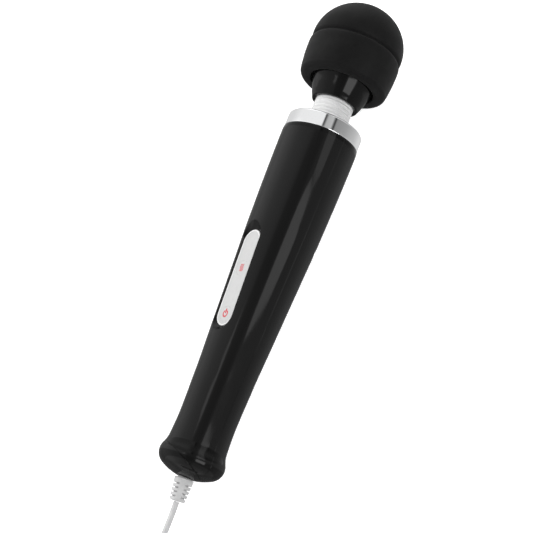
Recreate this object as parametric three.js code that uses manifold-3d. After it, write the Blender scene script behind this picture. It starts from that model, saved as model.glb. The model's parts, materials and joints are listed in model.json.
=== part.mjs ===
// Corded wand massager, lying on its side with its cord put away as a tied hank beside its plug-in adapter.
// Units are millimetres. The wand is built upright in its own frame: +Z runs along the axis from the tail
// (Z = 0) to the head, and +Y points at the control strip. At the end it is laid down along world +Y.

import * as THREE from 'three';
import { mergeVertices } from 'three/addons/utils/BufferGeometryUtils.js';
import Module from 'manifold-3d';

const wasm = await Module();
wasm.setup();

// ---------------------------------------------------------------- driving dimensions

const GAP = 0.3; // clearance between pieces that touch in the real object
const WALL = 2.2; // wall of the handle shells
const ROUND = 32; // facets round the large outer pieces
const INNER_ROUND = 20; // facets round the small inner pieces

const TAIL_RADIUS = 20; // widest part of the flared tail
const TAIL_DOME = 11; // height of the rounded tail end
const TAIL_CUT_HEIGHT = 6; // where the slanted cut of the tail cap meets the axis
const TAIL_CUT_SLANT = THREE.MathUtils.degToRad(27.3);
const TAIL_CUT_TURN = THREE.MathUtils.degToRad(-30); // its high side is beyond the strip
const HANDLE_TOP = 220.3;
const HANDLE_TOP_RADIUS = 24.2;
const SPIGOT_RADIUS = 21.6; // the rim of the shells inside the collar
const SPIGOT_TOP = 226;

const COLLAR_RADIUS = 23.85;
const COLLAR_BOTTOM = 220.6;
const COLLAR_TOP = 230.4;
const COLLAR_EDGE = 1.3;

const SLEEVE_RADIUS = 12.3;
const SLEEVE_WALL = 2;
const SLEEVE_BOTTOM = 225.3;
const SLEEVE_TOP = 250.6;
const SLEEVE_RIB_PITCH = 2.3;
const SLEEVE_RIB_DEPTH = 0.35;

const CONE_BOTTOM = 245.6;
const CONE_SHELF = 260.6; // the underside of the flange that the silicone wraps
const HEAD_RADIUS = 29.75;
const DOME_START = 287;
const DOME_RADIUS = 29.4;
const DOME_HEIGHT = 27.8;
const SHELL_RADIUS = 26.5; // rigid shell under the silicone
const SHELL_WALL = 1.9;

const STRIP_LENGTH = 61;
const STRIP_HALF_WIDTH = 7.5;
const STRIP_THICKNESS = 1.8;
const STRIP_MIDDLE = 119; // along the axis
const STRIP_DISTANCE = 17.95; // from the axis to the strip's top face at its middle
const STRIP_SLOPE = Math.atan(0.05); // the strip follows the taper of the handle
const KEY_RADIUS = 4.6;
const KEY_PLACES = { power: -23, mode: 6 }; // along the strip from its middle
const KEY_TRAVEL = 0.5;

const RESTING_SPAN = 267.5; // between the places where its head and its tail touch the surface
const LYING_INCLINE = Math.atan((HEAD_RADIUS - TAIL_RADIUS) / RESTING_SPAN);
const STRIP_TURN = THREE.MathUtils.degToRad(49); // the strip faces this far to the left of straight up

const CORD_DIAMETER = 3.5;
const CORD_RADIUS = CORD_DIAMETER / 2;
const CORD_BORE = CORD_RADIUS + GAP; // of the holes that it passes through
const RELIEF_LENGTH = 13.4;
const RELIEF_LEAN = THREE.MathUtils.degToRad(3);
const RELIEF_TURN = THREE.MathUtils.degToRad(55); // its slots face this far round from the strip

// ---------------------------------------------------------------- materials

const finish = (color, roughness, metalness = 0) => new THREE.MeshStandardMaterial({ color, roughness, metalness });
const glossBlack = finish(0x121214, 0.12);
const mattBlack = finish(0x1b1b1c, 0.65);
const chrome = finish(0xd8dade, 0.08, 1);
const white = finish(0xeeeeec, 0.45);
const whiteRubber = finish(0xe6e7e8, 0.6);
const steel = finish(0xa9adb2, 0.3, 1);
const brass = finish(0xc2a14f, 0.35, 1);
const boardGreen = finish(0x1f5a3a, 0.5);
const greyPlastic = finish(0x54575b, 0.5);
const redWire = finish(0xb02a28, 0.5);
const blackRubber = finish(0x222222, 0.8);

// ---------------------------------------------------------------- helpers

const wand = new THREE.Group();

/** Adds a named piece to a parent. */
function piece(name, geometry, material, parent = wand) {
  const mesh = new THREE.Mesh(geometry, material);
  mesh.name = name;
  parent.add(mesh);
  return mesh;
}

/** Turns a closed geometry into a manifold solid. */
function solid(geometry) {
  const bare = geometry.clone();
  bare.deleteAttribute('normal');
  bare.deleteAttribute('uv');
  const merged = mergeVertices(bare, 1e-4);
  const corners = merged.index.array;
  const triangles = [];
  for (let i = 0; i < corners.length; i += 3) {
    const [a, b, c] = [corners[i], corners[i + 1], corners[i + 2]];
    if (a !== b && b !== c && c !== a) triangles.push(a, b, c);
  }
  return new wasm.Manifold(new wasm.Mesh({
    numProp: 3,
    vertProperties: new Float32Array(merged.attributes.position.array),
    triVerts: new Uint32Array(triangles),
  }));
}

/** Turns a manifold solid back into a geometry. */
function geometryOf(body) {
  const mesh = body.getMesh();
  const geometry = new THREE.BufferGeometry();
  geometry.setAttribute('position', new THREE.BufferAttribute(new Float32Array(mesh.vertProperties), 3));
  geometry.setIndex(new THREE.BufferAttribute(new Uint32Array(mesh.triVerts), 1));
  geometry.computeVertexNormals();
  return geometry;
}

/** Revolves an outline of [radius, height] points about the Z axis, with its faces pointing out. */
function revolve(outline, facets = INNER_ROUND) {
  const points = outline.map(([radius, height]) => new THREE.Vector2(radius, height));
  if (THREE.ShapeUtils.area(points) < 0) points.reverse();
  return new THREE.LatheGeometry(points, facets).rotateX(Math.PI / 2);
}

/** A revolved ring: the outline is closed on itself. */
function ring(outline, facets = INNER_ROUND) {
  return revolve([...outline, outline[0]], facets);
}

/** A plain tube between two heights. */
function bush(inner, outer, bottom, top, facets = INNER_ROUND) {
  return ring([[inner, bottom], [outer, bottom], [outer, top], [inner, top]], facets);
}

/** A solid rod about the Z axis. */
function rod(radius, bottom, top, facets = 12) {
  return revolve([[0, bottom], [radius, bottom], [radius, top], [0, top]], facets);
}

/** Points on a quarter of an ellipse, from its side (angle 0) to its pole. */
function quarterEllipse(centre, radius, height, steps, from = 0, to = Math.PI / 2) {
  return Array.from({ length: steps + 1 }, (_, i) => {
    const angle = from + (i / steps) * (to - from);
    return [radius * Math.cos(angle), centre + height * Math.sin(angle)];
  });
}

/** Points on a smooth curve through the given [radius, height] points. */
function smooth(points, steps) {
  const curve = new THREE.SplineCurve(points.map(([radius, height]) => new THREE.Vector2(radius, height)));
  return curve.getPoints(steps).map((point) => [point.x, point.y]);
}

/** A stadium outline: two half circles joined by straight sides, along Y. */
function stadium(halfWidth, length) {
  const shape = new THREE.Shape();
  const reach = length / 2 - halfWidth;
  shape.absarc(0, reach, halfWidth, 0, Math.PI, false);
  shape.absarc(0, -reach, halfWidth, Math.PI, 2 * Math.PI, false);
  shape.closePath();
  return shape;
}

/** Extrudes a shape along +Z from a height. */
function extrude(shape, bottom, depth, curveSegments = 6) {
  const settings = { depth, bevelEnabled: false, curveSegments };
  return new THREE.ExtrudeGeometry(shape, settings).translate(0, 0, bottom);
}

/** A round tube along a smooth path through the given points. */
function tube(points, radius, steps, sides = 8) {
  const path = new THREE.CatmullRomCurve3(points.map((point) => new THREE.Vector3(...point)));
  const section = new THREE.Shape();
  section.absarc(0, 0, radius, 0, 2 * Math.PI, false);
  const settings = { steps, extrudePath: path, bevelEnabled: false, curveSegments: sides / 2 };
  return new THREE.ExtrudeGeometry(section, settings);
}

/** A box given by its lowest and highest corners. */
function box(low, high) {
  const size = high.map((value, i) => value - low[i]);
  return new THREE.BoxGeometry(...size).translate(...low.map((value, i) => value + size[i] / 2));
}

/** A pan-head screw pointing down the Z axis, with the underside of its head at Z = 0. */
function screw(headRadius, headHeight, shankRadius, shankLength) {
  return revolve([
    [0, -shankLength],
    [shankRadius * 0.5, -shankLength],
    [shankRadius, -shankLength + shankRadius],
    [shankRadius, 0],
    [headRadius, 0],
    [headRadius, headHeight * 0.5],
    [headRadius * 0.7, headHeight],
    [0, headHeight],
  ], 10);
}

// ---------------------------------------------------------------- handle casing

/** The side of the handle from the tail's widest place up to the top, as [radius, height] points. */
const handleSide = smooth([
  [TAIL_RADIUS, TAIL_DOME],
  [19.7, 13.3],
  [18.3, 16.8],
  [17.5, 23.5],
  [17.15, 33.5],
  [17.85, 62],
  [19.5, 95],
  [21.45, 134],
  [22.9, 166],
  [23.8, 196],
  [HANDLE_TOP_RADIUS, HANDLE_TOP - 0.5],
], 20);

function handleOuter() {
  const dome = quarterEllipse(TAIL_DOME, TAIL_RADIUS, -TAIL_DOME, 7).reverse();
  return solid(revolve([
    ...dome,
    ...handleSide.slice(1),
    [HANDLE_TOP_RADIUS - 0.4, HANDLE_TOP],
    [SPIGOT_RADIUS, HANDLE_TOP],
    [SPIGOT_RADIUS, SPIGOT_TOP],
    [0, SPIGOT_TOP],
  ], ROUND));
}

function handleHollow() {
  const dome = quarterEllipse(TAIL_DOME + 1, TAIL_RADIUS - WALL, WALL - TAIL_DOME, 4).reverse();
  const side = handleSide.filter(([, height], i) => i % 2 === 0 && height > TAIL_DOME + 2 && height < 210);
  const boreRadius = SPIGOT_RADIUS - 2;
  return solid(revolve([
    ...dome,
    ...side.map(([radius, height]) => [radius - WALL, height]),
    [boreRadius, 214],
    [boreRadius, SPIGOT_TOP + 5],
    [0, SPIGOT_TOP + 5],
  ], INNER_ROUND));
}

/** The frame of the control strip: X across it, Y along it towards the head, Z out of the handle. */
const stripFrame = new THREE.Matrix4().makeBasis(
  new THREE.Vector3(-1, 0, 0),
  new THREE.Vector3(0, Math.sin(STRIP_SLOPE), Math.cos(STRIP_SLOPE)),
  new THREE.Vector3(0, Math.cos(STRIP_SLOPE), -Math.sin(STRIP_SLOPE)),
).setPosition(0, STRIP_DISTANCE, STRIP_MIDDLE);

const inStripFrame = (geometry) => geometry.applyMatrix4(stripFrame);

const POCKET_FLOOR = -STRIP_THICKNESS - GAP;
const TUB_FLOOR = POCKET_FLOOR - 1.6;
const BOARD_TOP = -7.6; // all three in the strip's frame
const BOARD_SCREW_PLACES = [-14, 20];

/** The tub that holds the strip, with the bosses of the board, joined to the casing from inside. */
function stripTub(outer) {
  let tub = solid(inStripFrame(extrude(stadium(STRIP_HALF_WIDTH + 2.3, STRIP_LENGTH + 6), TUB_FLOOR, 8)));
  for (const place of BOARD_SCREW_PLACES) {
    const boss = rod(2.6, BOARD_TOP + GAP, TUB_FLOOR + 0.5).translate(0, place, 0);
    tub = tub.add(solid(inStripFrame(boss)));
  }
  return tub.intersect(outer);
}

/** Everything that is cut out of the casing at the strip. */
function stripPocket() {
  const pocket = extrude(stadium(STRIP_HALF_WIDTH + GAP, STRIP_LENGTH + 2 * GAP), POCKET_FLOOR, 10);
  const scoop = extrude(stadium(STRIP_HALF_WIDTH + 0.7, STRIP_LENGTH + 8), -GAP, 10).translate(0, 0.7, 0);
  let cut = solid(inStripFrame(pocket)).add(solid(inStripFrame(scoop)));
  for (const place of Object.values(KEY_PLACES)) {
    cut = cut.add(solid(inStripFrame(rod(2.3, TUB_FLOOR - 1, POCKET_FLOOR + 1).translate(0, place, 0))));
  }
  for (const place of BOARD_SCREW_PLACES) {
    cut = cut.add(solid(inStripFrame(rod(1.3, BOARD_TOP - 1, TUB_FLOOR + 0.6).translate(0, place, 0))));
  }
  return cut;
}

const SHELL_SCREWS = [[0, 60], [13, 152.2], [-13, 152.2]]; // [x, z] of each screw through the rear shell
const SCREW_SEAT = -7; // Y of the underside of the screw heads

/** A cylinder along Y at one of the shell screws. */
function alongY(radius, from, to, [x, z]) {
  return solid(rod(radius, from, to, 16).rotateX(-Math.PI / 2).translate(x, 0, z));
}

function makeCasing() {
  const outer = handleOuter();
  const reach = 30;
  let bosses = alongY(3.6, -reach, reach, SHELL_SCREWS[0]);
  for (const place of SHELL_SCREWS.slice(1)) bosses = bosses.add(alongY(3.6, -reach, reach, place));
  let casing = outer.subtract(handleHollow());
  casing = casing.add(stripTub(outer)).add(bosses.intersect(outer)).subtract(stripPocket());
  for (const place of SHELL_SCREWS) {
    casing = casing.subtract(alongY(2.9, -reach, SCREW_SEAT, place));
    casing = casing.subtract(alongY(1.4, -reach, 11, place));
  }

  const slanted = new THREE.Matrix4().makeTranslation(0, 0, TAIL_CUT_HEIGHT)
    .multiply(new THREE.Matrix4().makeRotationZ(TAIL_CUT_TURN))
    .multiply(new THREE.Matrix4().makeRotationX(TAIL_CUT_SLANT));
  const big = 300;
  const aboveCut = solid(box([-big, -big, GAP / 2], [big, big, big]).applyMatrix4(slanted));
  const belowCut = solid(box([-big, -big, -big], [big, big, -GAP / 2]).applyMatrix4(slanted));
  const front = solid(box([-big, GAP / 2, -big], [big, big, big]));
  const rear = solid(box([-big, -big, -big], [big, -GAP / 2, big]));
  const reliefHole = solid(rod(4.9, -5, 12, 20));

  const body = casing.subtract(reliefHole);
  piece('front_shell', geometryOf(body.intersect(aboveCut).intersect(front)), glossBlack);
  piece('rear_shell', geometryOf(body.intersect(aboveCut).intersect(rear)), glossBlack);
  piece('tail_cap', geometryOf(body.intersect(belowCut)), glossBlack);

  SHELL_SCREWS.forEach(([x, z], i) => {
    const fastener = piece(`shell_screw_${i + 1}`, screw(2.6, 1.8, 1.1, 15), steel);
    fastener.rotation.x = Math.PI / 2;
    fastener.position.set(x, SCREW_SEAT - GAP, z);
  });
}

// ---------------------------------------------------------------- control strip, keys and circuit board

function makeControls() {
  const panel = new THREE.Group();
  panel.applyMatrix4(stripFrame);
  wand.add(panel);

  const stripShape = stadium(STRIP_HALF_WIDTH, STRIP_LENGTH);
  for (const place of Object.values(KEY_PLACES)) {
    stripShape.holes.push(new THREE.Path().absarc(0, place, KEY_RADIUS + 0.2, 0, 2 * Math.PI, true));
  }
  piece('control_strip', extrude(stripShape, -STRIP_THICKNESS, STRIP_THICKNESS, 8), white, panel);

  const stemBottom = TUB_FLOOR - 0.5;
  const plungerTop = stemBottom - GAP;
  const capBottom = -1.4;
  for (const [name, place] of Object.entries(KEY_PLACES)) {
    const cap = revolve([
      [0, stemBottom], [1.8, stemBottom], [1.8, capBottom], [KEY_RADIUS, capBottom], [KEY_RADIUS, 0], [0, 0],
    ], INNER_ROUND);
    piece(`${name}_button`, cap, white, panel).position.y = place;
    piece(`${name}_plunger`, rod(1.5, plungerTop - 1.6, plungerTop), blackRubber, panel).position.y = place;

    const half = 3;
    const housing = solid(box([-half, -half, BOARD_TOP + GAP], [half, half, plungerTop - 0.4]));
    const well = solid(rod(1.8, plungerTop - 1.6 - KEY_TRAVEL - 0.1, 0));
    piece(`${name}_switch`, geometryOf(housing.subtract(well)), greyPlastic, panel).position.y = place;
  }

  const boardThickness = 1.6;
  const boardBottom = BOARD_TOP - boardThickness;
  const halfBoard = 6.5;
  const board = new THREE.Shape([
    new THREE.Vector2(-halfBoard, -29), new THREE.Vector2(halfBoard, -29),
    new THREE.Vector2(halfBoard, 28), new THREE.Vector2(-halfBoard, 28),
  ]);
  BOARD_SCREW_PLACES.forEach((place, i) => {
    board.holes.push(new THREE.Path().absarc(0, place, 1.3, 0, 2 * Math.PI, true));
    const fastener = piece(`board_screw_${i + 1}`, screw(2.2, 1.4, 1, 4.4), steel, panel);
    fastener.rotation.x = Math.PI;
    fastener.position.set(0, place, boardBottom - GAP);
  });
  piece('circuit_board', extrude(board, boardBottom, boardThickness, 6), boardGreen, panel);

  const underBoard = boardBottom - GAP;
  piece('driver_chip', box([-3, -5, underBoard - 1.4], [3, 4, underBoard]), blackRubber, panel);
  const capacitor = rod(3, 0, 9, 16).rotateX(-Math.PI / 2).translate(0, 8, underBoard - 3);
  piece('capacitor', capacitor, greyPlastic, panel);
}

// ---------------------------------------------------------------- motor

function makeMotor() {
  const canRadius = 15;
  const inside = canRadius - 1.2;
  piece('motor_can', ring([
    [inside, 160], [canRadius, 160], [canRadius, 204], [5, 204],
    [5, 206], [3.3, 206], [3.3, 202.5], [inside, 202.5],
  ], 24), steel);
  piece('motor_rear_cap', bush(2, 14.8, 156.6, 159.7, 24), greyPlastic);
  piece('motor_bearing', bush(1.8, 3, 202.8, 206), brass);
  piece('motor_rotor', bush(1.9, 10.6, 168, 194), brass);
  piece('commutator', bush(1.9, 4.5, 161.5, 166), brass);
  piece('motor_shaft', rod(1.6, 157, 228), steel);
  for (const [name, start] of [['motor_magnet_left', Math.PI / 4], ['motor_magnet_right', (5 * Math.PI) / 4]]) {
    const arc = new THREE.Shape();
    arc.absarc(0, 0, inside - GAP, start, start + 1.9, false);
    arc.absarc(0, 0, 11.4, start + 1.9, start, true);
    arc.closePath();
    piece(name, extrude(arc, 168, 26, 10), greyPlastic);
  }
  piece('motor_cushion_front', bush(canRadius + GAP, 21.1, 191, 198, 24), blackRubber);
  piece('motor_cushion_rear', bush(canRadius + GAP, 20.1, 161, 167, 24), blackRubber);
}

// ---------------------------------------------------------------- flexible neck

/** A helical spring about the Z axis. */
function spring(meanRadius, wireRadius, bottom, top, turns, stepsPerTurn) {
  const count = turns * stepsPerTurn;
  const points = Array.from({ length: count + 1 }, (_, i) => {
    const angle = (i / stepsPerTurn) * 2 * Math.PI;
    const height = bottom + ((top - bottom) * i) / count;
    return [meanRadius * Math.cos(angle), meanRadius * Math.sin(angle), height];
  });
  return tube(points, wireRadius, count, 4);
}

function makeNeck() {
  const edge = quarterEllipse(COLLAR_TOP - COLLAR_EDGE, COLLAR_EDGE, COLLAR_EDGE, 3);
  piece('collar_ring', ring([
    [SPIGOT_RADIUS + 0.4, COLLAR_BOTTOM],
    [COLLAR_RADIUS, COLLAR_BOTTOM],
    ...edge.map(([radius, height]) => [COLLAR_RADIUS - COLLAR_EDGE + radius, height]),
    [SLEEVE_RADIUS + 0.5, COLLAR_TOP],
    [SLEEVE_RADIUS + 0.5, COLLAR_TOP - 2],
    [SPIGOT_RADIUS + 0.4, COLLAR_TOP - 2],
  ], ROUND), chrome);

  const seatRadius = 9.7;
  piece('neck_flange', ring([
    [5.2, 214.6], [SPIGOT_RADIUS - 2 - GAP, 214.6], [SPIGOT_RADIUS - 2 - GAP, 225],
    [seatRadius, 225], [seatRadius, 218], [5.2, 218],
  ], 24), greyPlastic);
  piece('neck_spring', spring(8.5, 0.8, 219.2, 254.8, 6, 12), steel);
  piece('drive_spring', spring(2.9, 0.5, 219, 254, 7, 8), steel);

  const ribs = [];
  for (let height = COLLAR_TOP + 0.9; height < CONE_BOTTOM + 1; height += SLEEVE_RIB_PITCH) {
    ribs.push([SLEEVE_RADIUS, height], [SLEEVE_RADIUS - SLEEVE_RIB_DEPTH, height + SLEEVE_RIB_PITCH / 2]);
  }
  const inner = SLEEVE_RADIUS - SLEEVE_WALL;
  const flange = SLEEVE_BOTTOM + 2.7;
  piece('neck_sleeve', ring([
    [inner, SLEEVE_BOTTOM], [15.5, SLEEVE_BOTTOM], [15.5, flange], [SLEEVE_RADIUS - GAP, flange],
    ...ribs, [SLEEVE_RADIUS, SLEEVE_TOP], [inner, SLEEVE_TOP],
  ], 24), whiteRubber);
}

// ---------------------------------------------------------------- head

const HEAD_SCREW_RADIUS = 18.5; // from the axis
const HEAD_SCREW_COUNT = 3;

/** A vertical cylinder at one of the head screws. */
function atHeadScrew(index, radius, bottom, top) {
  const angle = (index / HEAD_SCREW_COUNT) * 2 * Math.PI;
  const x = HEAD_SCREW_RADIUS * Math.cos(angle);
  const y = HEAD_SCREW_RADIUS * Math.sin(angle);
  return solid(rod(radius, bottom, top).translate(x, y, 0));
}

function makeHeadBase() {
  let base = solid(ring([
    [SLEEVE_RADIUS + 0.4, CONE_BOTTOM], [13.8, CONE_BOTTOM], [14.6, CONE_BOTTOM + 0.6],
    ...smooth([[15.2, CONE_BOTTOM + 1.6], [16.4, 249.8], [17.7, 253.6], [19, 257.6], [20, CONE_SHELF]], 4),
    [SHELL_RADIUS, CONE_SHELF], [SHELL_RADIUS, 263], [24.2, 263], [24.2, 266], [22.6, 266], [22.6, 263.5],
    [8.6, 263.5], [8.6, 266], [6.3, 266], [6.3, 259.5], [3.6, 259.5], [3.6, 256.2],
    [9.7, 256.2], [9.7, SLEEVE_TOP + 0.5], [SLEEVE_RADIUS + 0.4, SLEEVE_TOP + 0.5],
  ], ROUND));
  for (let i = 0; i < HEAD_SCREW_COUNT; i += 1) {
    base = base.add(atHeadScrew(i, 3, 263, 295.7)).subtract(atHeadScrew(i, 1.4, 282, 300));
  }
  piece('head_base', geometryOf(base), glossBlack);
}

function makeHeadShell() {
  const innerRadius = SHELL_RADIUS - SHELL_WALL;
  const hub = 8.5;
  const innerDome = quarterEllipse(DOME_START, innerRadius, 23.2, 4, 0, Math.acos(hub / innerRadius));
  let shell = solid(revolve([
    ...quarterEllipse(DOME_START, SHELL_RADIUS, 25, 6).reverse(),
    [SHELL_RADIUS, 263 + GAP],
    [innerRadius, 263 + GAP],
    ...innerDome,
    [hub, 300], [6.3, 300], [6.3, 306], [0, 306],
  ], ROUND));
  const outer = solid(revolve([
    ...quarterEllipse(DOME_START, SHELL_RADIUS, 25, 6).reverse(), [SHELL_RADIUS, 263], [0, 263],
  ], ROUND));
  for (let i = 0; i < HEAD_SCREW_COUNT; i += 1) {
    shell = shell.add(atHeadScrew(i, 3.6, 296, 310).intersect(outer));
    shell = shell.subtract(atHeadScrew(i, 2.9, 299, 315)).subtract(atHeadScrew(i, 1.4, 290, 300));
    const angle = (i / HEAD_SCREW_COUNT) * 2 * Math.PI;
    const fastener = piece(`head_screw_${i + 1}`, screw(2.5, 1.8, 1.1, 15), steel);
    fastener.position.set(HEAD_SCREW_RADIUS * Math.cos(angle), HEAD_SCREW_RADIUS * Math.sin(angle), 299 + GAP);
  }
  piece('head_shell', geometryOf(shell), greyPlastic);
}

function makeHeadCover() {
  const lip = 22.1;
  const bottom = 258.5;
  const corner = 3.4;
  const innerRadius = SHELL_RADIUS + 0.4;
  const groove = 283.4;
  piece('head_cover', revolve([
    ...quarterEllipse(DOME_START, innerRadius, 25.4, 6).reverse(),
    [innerRadius, CONE_SHELF - GAP],
    [lip, CONE_SHELF - GAP],
    [lip, bottom + 0.5],
    [lip + 0.5, bottom],
    ...quarterEllipse(bottom + corner, corner, -corner, 4).reverse().map(([radius, height]) => [radius + 24.8, height]),
    ...smooth([[28.2, 262.4], [28.95, 267], [29.5, 272.5], [HEAD_RADIUS, 278.5], [29.6, 281.3]], 5),
    [28.85, groove - 0.5],
    [28.8, groove + 0.5],
    [DOME_RADIUS, DOME_START - 1],
    ...quarterEllipse(DOME_START, DOME_RADIUS, DOME_HEIGHT, 10),
  ], ROUND), mattBlack);
}

/** The brass weight: a hub with a heavy half disc that hangs straight down when the wand lies at rest. */
function makeEccentricWeight() {
  const down = STRIP_TURN - Math.PI / 2;
  const shape = new THREE.Shape();
  shape.absarc(0, 0, 13, down - Math.PI / 2, down + Math.PI / 2, false);
  shape.absarc(0, 0, 5, down + Math.PI / 2, down + (3 * Math.PI) / 2, false);
  shape.closePath();
  shape.holes.push(new THREE.Path().absarc(0, 0, 2.2, 0, 2 * Math.PI, true));
  piece('eccentric_weight', extrude(shape, 270, 20, 12), brass);
}

function makeHead() {
  makeHeadBase();
  makeHeadShell();
  makeHeadCover();
  makeEccentricWeight();
  piece('head_shaft', rod(2, 249, 305.3), steel);
  piece('head_bearing_lower', bush(2.2, 6, 259.8, 264.8), steel);
  piece('head_bearing_upper', bush(2.2, 6, 300.4, 305.4), steel);
}

// ---------------------------------------------------------------- strain relief and inner leads

function makeStrainRelief() {
  const tip = -RELIEF_LENGTH;
  let body = solid(ring([
    [CORD_BORE, tip], [4.4, tip], [4.85, tip + 0.6], [5.7, -0.6], [5.7, -GAP], [4.1, -GAP],
    [4.1, 4.6], [6.4, 4.6], [6.4, 6.4], [CORD_BORE, 6.4],
  ], 16));
  const web = 1.7;
  for (let slot = 0; slot < 4; slot += 1) {
    const top = -3.3 - slot * 2.45;
    for (const side of [-1, 1]) {
      const near = side * web;
      const far = side * 8;
      const low = [Math.min(near, far), -8, top - 1];
      const high = [Math.max(near, far), 8, top];
      body = body.subtract(solid(box(low, high)));
    }
  }
  const relief = new THREE.Group();
  relief.rotation.set(0, RELIEF_LEAN, RELIEF_TURN, 'ZYX');
  wand.add(relief);
  return piece('strain_relief', geometryOf(body), whiteRubber, relief);
}

function makeLeads() {
  const clampShape = new THREE.Shape();
  clampShape.moveTo(-8, -6);
  clampShape.lineTo(8, -6);
  clampShape.lineTo(8, -0.5);
  clampShape.lineTo(CORD_BORE, -0.5);
  clampShape.absarc(0, -0.5, CORD_BORE, 0, Math.PI, true);
  clampShape.lineTo(-8, -0.5);
  clampShape.closePath();
  piece('cord_clamp', extrude(clampShape, 17, 6, 8), greyPlastic);

  const supply = [[0, 0, 6], [0, 0, 12], [0, 0, 20], [2, 0, 30], [7, 0, 45], [8.5, 0, 60], [5, 3, 75], [1, 5.5, 84]];
  piece('supply_lead', tube(supply, CORD_RADIUS, 20, 8), white);
  for (const [name, side, material] of [['motor_lead_red', 1, redWire], ['motor_lead_black', -1, blackRubber]]) {
    const route = [[3 * side, 6.5, 146.2], [3.6 * side, 3.5, 149], [5 * side, 1, 152.5], [6 * side, 0, 156.2]];
    piece(name, tube(route, 0.7, 8, 6), material);
  }
}

// ---------------------------------------------------------------- putting the wand down

makeCasing();
makeControls();
makeMotor();
makeNeck();
makeHead();
const strainRelief = makeStrainRelief();
makeLeads();

/** Turns the wand about its own axis, then lays it along world +Y with its head a little higher. */
wand.rotation.z = Math.PI - STRIP_TURN;
const laid = new THREE.Group();
laid.rotation.x = LYING_INCLINE - Math.PI / 2;
laid.add(wand);

/** The wand rests on Z = 0, with the middle of its box over the origin. */
const extent = new THREE.Box3().setFromObject(laid, true);
laid.position.set(
  -(extent.min.x + extent.max.x) / 2,
  -(extent.min.y + extent.max.y) / 2,
  -extent.min.z,
);
laid.updateMatrixWorld(true);

const part = new THREE.Group();
part.add(laid);

// ---------------------------------------------------------------- cord, hank and adapter, in world millimetres

const TIE_THICKNESS = 0.6;
const HANK = {
  x: 14.4,
  y: -260,
  halfRun: 30.8, // from its waist to the start of its folds
  foldRadius: 11.2, // of the innermost turns
  columnPitch: 3.8, // between turns that lie side by side
  columns: 2,
  layers: 4,
  pinch: 9.2, // how far the tie pulls the runs in
  bottom: TIE_THICKNESS + GAP,
};
const HANK_HEIGHT = HANK.layers * CORD_DIAMETER;
const HANK_OUTER_TURN = HANK.foldRadius + (HANK.columns - 1) * HANK.columnPitch;
const HANK_MOUTH = HANK.y + HANK.halfRun; // where the folds nearest the wand start

/** From the strain relief straight on, then down onto the top of the hank. */
const LEAD_ROUTE = [
  [0.7, -164.2, 19],
  [0.95, -172, 18.6],
  [0.95, -180, 18.1],
  [0.75, -188, 17.4],
  [0.4, -196, 16.4],
  [0.05, -203, 15.2],
  [-0.3, -209, 14.1],
  [-0.6, -218.6, 13.25],
];

const ADAPTER = {
  x: -15,
  front: -237, // the face that the cord enters
  length: 52,
  halfWidth: 12,
  height: 25,
  corner: 3,
  cordHeight: 5.5,
  reliefLength: 7.5,
  faceThickness: 6,
};
const BLADE = { gap: 12.7, height: 6.3, thickness: 1.5, length: 16, depth: 4 };

/** How far the tie pulls in a turn at a distance from the waist. */
const pinchAt = (distance) => (HANK.pinch * (1 + Math.cos((Math.PI * distance) / HANK.halfRun))) / 2;

/** The hank's outer shape as one block with round ends and a waist. */
function makeHank() {
  const outer = HANK_OUTER_TURN + CORD_RADIUS;
  const outline = new THREE.Shape();
  const steps = 6;
  const runPoint = (side, i) => {
    const y = side * (1 - i / steps) * HANK.halfRun;
    return [-side * (outer - pinchAt(y)), y];
  };
  outline.absarc(0, HANK.halfRun, outer, 0, Math.PI, false);
  for (let i = 1; i < 2 * steps; i += 1) outline.lineTo(...runPoint(1, i));
  outline.absarc(0, -HANK.halfRun, outer, Math.PI, 2 * Math.PI, false);
  for (let i = 1; i < 2 * steps; i += 1) outline.lineTo(...runPoint(-1, i));
  outline.closePath();
  const hank = extrude(outline, HANK.bottom, HANK_HEIGHT, 6);
  piece('cord_hank', hank, white, part).position.set(HANK.x, HANK.y, 0);
}

/** A flat band round the hank's waist. */
function makeTie() {
  const halfLength = 2.5;
  const inside = HANK_OUTER_TURN + CORD_RADIUS - pinchAt(halfLength) + GAP;
  const outside = inside + TIE_THICKNESS;
  const ceiling = HANK.bottom + HANK_HEIGHT + GAP;
  const roof = ceiling + TIE_THICKNESS;
  const band = new THREE.Shape([
    new THREE.Vector2(-outside, 0),
    new THREE.Vector2(outside, 0),
    new THREE.Vector2(outside, roof),
    new THREE.Vector2(-outside, roof),
  ]);
  band.holes.push(new THREE.Path([
    new THREE.Vector2(-inside, TIE_THICKNESS),
    new THREE.Vector2(-inside, ceiling),
    new THREE.Vector2(inside, ceiling),
    new THREE.Vector2(inside, TIE_THICKNESS),
  ]));
  const tie = extrude(band, -halfLength, 2 * halfLength).rotateX(Math.PI / 2);
  piece('cord_tie', tie, blackRubber, part).position.set(HANK.x, HANK.y, 0);
}

/** Off the hank's lowest outer turn, round a half circle on the surface and up into the adapter. */
function endRoute() {
  const right = HANK.x + HANK_OUTER_TURN;
  const radius = (right - ADAPTER.x) / 2;
  const clearOfHank = THREE.MathUtils.degToRad(55);
  const steps = 10;
  return Array.from({ length: steps + 1 }, (_, i) => {
    const angle = clearOfHank + (i / steps) * (Math.PI - clearOfHank);
    const x = right - radius + radius * Math.cos(angle);
    const y = HANK_MOUTH + radius * Math.sin(angle);
    const rise = THREE.MathUtils.smoothstep(angle, 0.5 * Math.PI, Math.PI);
    return [x, y, THREE.MathUtils.lerp(CORD_RADIUS + 0.1, ADAPTER.cordHeight, rise)];
  });
}

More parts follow.
